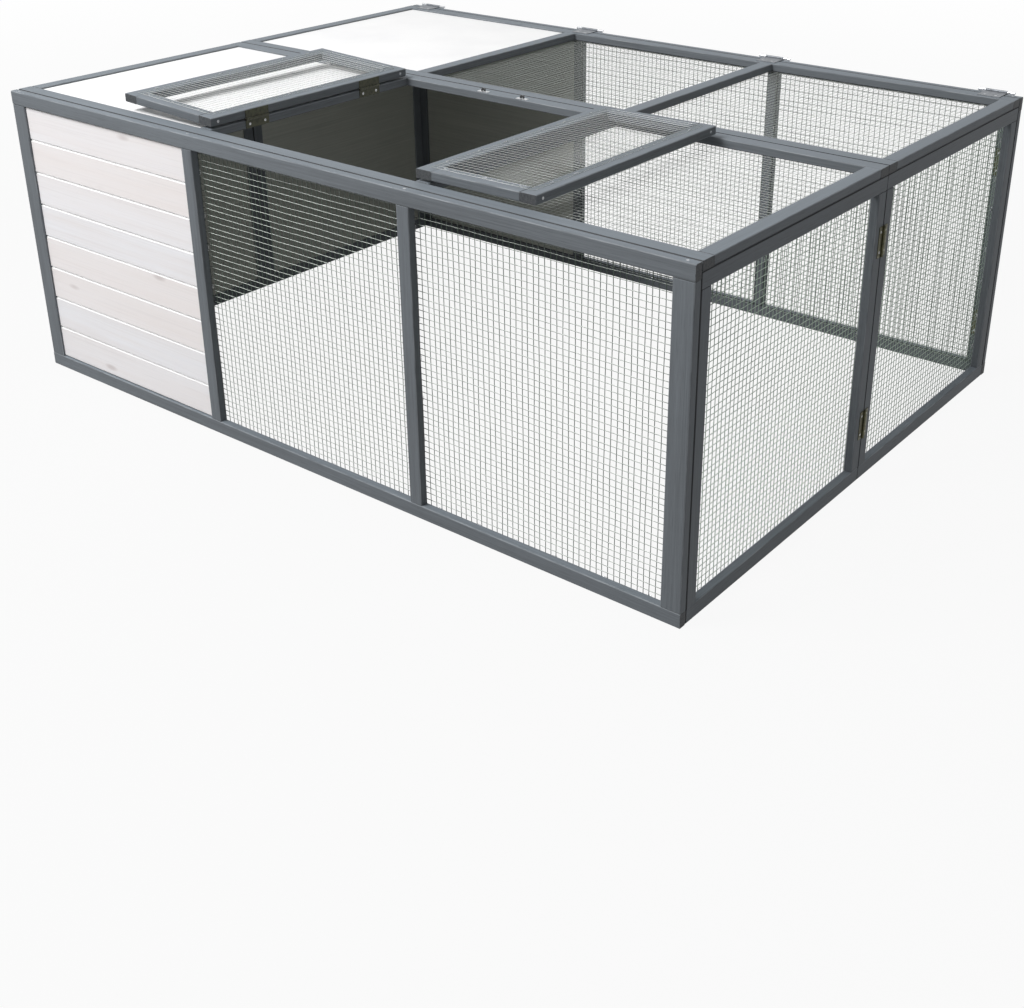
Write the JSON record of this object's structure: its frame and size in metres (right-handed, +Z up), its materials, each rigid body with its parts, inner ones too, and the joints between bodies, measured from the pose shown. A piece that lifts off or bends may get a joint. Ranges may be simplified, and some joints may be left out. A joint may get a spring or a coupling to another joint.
{
  "type": "rabbit cage",
  "caption": "Low folding rabbit cage of grey timber frames with wire mesh, a boarded shelter end and roof doors; the ends and roof fold flat.",
  "frame": {"origin": "on the ground at the middle of the overall box", "axes": "+X along the front from the boarded end to the open end, +Y from front to back, +Z up"},
  "size_m": [1.811, 1.3307, 0.7001],
  "materials": {
    "grey_timber": "grey glaze on softwood, satin",
    "white_boards": "white wash on softwood, the grain shows through",
    "roof_sheet": "plain white sheet",
    "wire": "galvanised welded wire",
    "brass_hinges": "dull brass plating",
    "zinc_fittings": "bright zinc plating"
  },
  "bodies": {
    "front_wall": {"front_wall_rails": "grey_timber", "front_wall_posts": "grey_timber", "front_wall_boards": "white_boards", "front_mesh_middle": "wire", "front_mesh_right": "wire", "front_wall_corner_leaves": "brass_hinges"},
    "back_wall": {"back_wall_rails": "grey_timber", "back_wall_posts": "grey_timber", "back_wall_boards": "white_boards", "back_mesh_middle": "wire", "back_mesh_right": "wire", "back_wall_corner_leaves": "brass_hinges", "roof_hinge_wall_leaves": "zinc_fittings"},
    "roof_back": {"roof_back_rails": "grey_timber", "roof_back_bars": "grey_timber", "roof_back_sheet": "roof_sheet", "roof_back_mesh_middle": "wire", "roof_back_mesh_right": "wire", "roof_hinge_straps": "zinc_fittings", "roof_back_middle_leaves": "brass_hinges"},
    "roof_front": {"roof_front_rails": "grey_timber", "roof_front_bars": "grey_timber", "roof_front_sheet": "roof_sheet", "roof_front_mesh_right": "wire", "roof_front_middle_leaves": "brass_hinges", "door_hinge_frame_leaves": "brass_hinges", "bolt_keepers": "zinc_fittings"},
    "right_front_half": {"right_front_rails": "grey_timber", "right_front_posts": "grey_timber", "right_front_mesh": "wire", "right_front_corner_leaves": "brass_hinges", "right_front_middle_leaves": "brass_hinges"},
    "right_back_half": {"right_back_rails": "grey_timber", "right_back_posts": "grey_timber", "right_back_mesh": "wire", "right_back_corner_leaves": "brass_hinges", "right_back_middle_leaves": "brass_hinges"},
    "right_door": {"right_door_stiles": "grey_timber", "right_door_rails": "grey_timber", "right_door_mesh": "wire", "right_door_hinge_leaves": "brass_hinges", "right_bolt_case": "zinc_fittings"},
    "right_bolt": {"right_bolt": "zinc_fittings"},
    "left_front_half": {"left_front_rails": "grey_timber", "left_front_posts": "grey_timber", "left_front_boards": "white_boards", "left_front_corner_leaves": "brass_hinges", "left_front_middle_leaves": "brass_hinges"},
    "left_back_half": {"left_back_rails": "grey_timber", "left_back_posts": "grey_timber", "left_back_boards": "white_boards", "left_back_corner_leaves": "brass_hinges", "left_back_middle_leaves": "brass_hinges"},
    "left_door": {"left_door_stiles": "grey_timber", "left_door_rails": "grey_timber", "left_door_mesh": "wire", "left_door_hinge_leaves": "brass_hinges", "left_bolt_case": "zinc_fittings"},
    "left_bolt": {"left_bolt": "zinc_fittings"}
  },
  "joints": [
    {"name": "end_fold", "type": "hinge", "parent": "front_wall", "child": "right_front_half", "pos_m": [0.879, -0.6444, 0], "axis": [0, 0, 1], "range_deg": [0, 90]},
    {"name": "right_middle_fold", "type": "hinge", "parent": "right_front_half", "child": "right_back_half", "pos_m": [0.903, -0.0029, 0], "axis": [0, 0, -1], "range_deg": [0, 180]},
    {"name": "back_wall_fold", "type": "hinge", "parent": "right_back_half", "child": "back_wall", "pos_m": [0.879, 0.6386, 0], "axis": [0, 0, 1], "range_deg": [0, 90]},
    {"name": "left_front_fold", "type": "hinge", "parent": "front_wall", "child": "left_front_half", "pos_m": [-0.879, -0.6444, 0], "axis": [0, 0, -1], "range_deg": [0, 90]},
    {"name": "left_middle_fold", "type": "hinge", "parent": "left_front_half", "child": "left_back_half", "pos_m": [-0.903, -0.0029, 0], "axis": [0, 0, 1], "range_deg": [0, 180]},
    {"name": "roof_turn", "type": "hinge", "parent": "back_wall", "child": "roof_back", "pos_m": [0, 0.6626, 0.6684], "axis": [-1, 0, 0], "range_deg": [0, 270]},
    {"name": "roof_fold", "type": "hinge", "parent": "roof_back", "child": "roof_front", "pos_m": [0, -0.0029, 0.6444], "axis": [1, 0, 0], "range_deg": [0, 180]},
    {"name": "left_door_swing", "type": "hinge", "parent": "roof_front", "child": "left_door", "pos_m": [-0.2848, 0, 0.6676], "axis": [0, 1, 0], "range_deg": [0, 177.6]},
    {"name": "left_bolt_slide", "type": "slide", "parent": "left_door", "child": "left_bolt", "axis": [0, 1, 0], "range_m": [0, 0.016]},
    {"name": "right_door_swing", "type": "hinge", "parent": "roof_front", "child": "right_door", "pos_m": [0.2704, 0, 0.6676], "axis": [0, -1, 0], "range_deg": [0, 179.5]},
    {"name": "right_bolt_slide", "type": "slide", "parent": "right_door", "child": "right_bolt", "axis": [0, 1, 0], "range_m": [0, 0.016]}
  ],
  "couplings": [
    {"joint": "right_middle_fold", "follows": "end_fold", "ratio": 2},
    {"joint": "back_wall_fold", "follows": "end_fold", "ratio": 1},
    {"joint": "left_front_fold", "follows": "end_fold", "ratio": 1},
    {"joint": "left_middle_fold", "follows": "end_fold", "ratio": 2},
    {"joint": "roof_turn", "follows": "end_fold", "ratio": 3},
    {"joint": "roof_fold", "follows": "end_fold", "ratio": 2}
  ]
}
